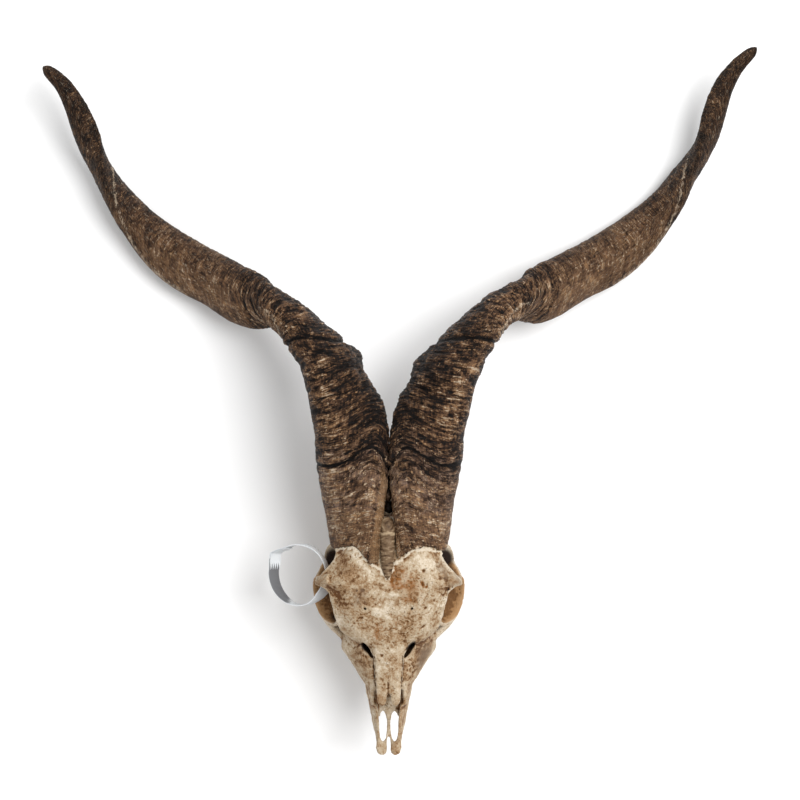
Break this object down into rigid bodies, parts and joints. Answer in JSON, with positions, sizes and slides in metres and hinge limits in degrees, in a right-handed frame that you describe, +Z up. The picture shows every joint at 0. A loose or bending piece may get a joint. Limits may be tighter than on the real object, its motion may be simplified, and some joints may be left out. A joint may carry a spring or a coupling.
{
  "type": "goat skull with horns",
  "caption": "Dry goat skull without a lower jaw, with long spiral horns spread wide and a paper tag strap looped behind one eye socket.",
  "frame": {"origin": "centre of the bounding box, at the surface that the skull lies on", "axes": "+Z up, out of the forehead; -Y towards the nose; +X to the animal's left"},
  "size_m": [0.6404, 0.6268, 0.1425],
  "materials": {
    "bone": "matt dry bone, stained",
    "horn_sheath": "rough horn, ringed",
    "nub_keratin": "rough horn",
    "tooth": "satin enamel",
    "strap_paper": "smooth white paper"
  },
  "bodies": {
    "root": {"skull": "bone", "horn_left": "horn_sheath", "horn_right": "horn_sheath", "midline_nub": "nub_keratin", "tooth_left_1": "tooth", "tooth_left_2": "tooth", "tooth_left_3": "tooth", "tooth_left_4": "tooth", "tooth_left_5": "tooth", "tooth_left_6": "tooth", "tooth_right_1": "tooth", "tooth_right_2": "tooth", "tooth_right_3": "tooth", "tooth_right_4": "tooth", "tooth_right_5": "tooth", "tooth_right_6": "tooth", "tag_strap": "strap_paper"}
  },
  "joints": []
}
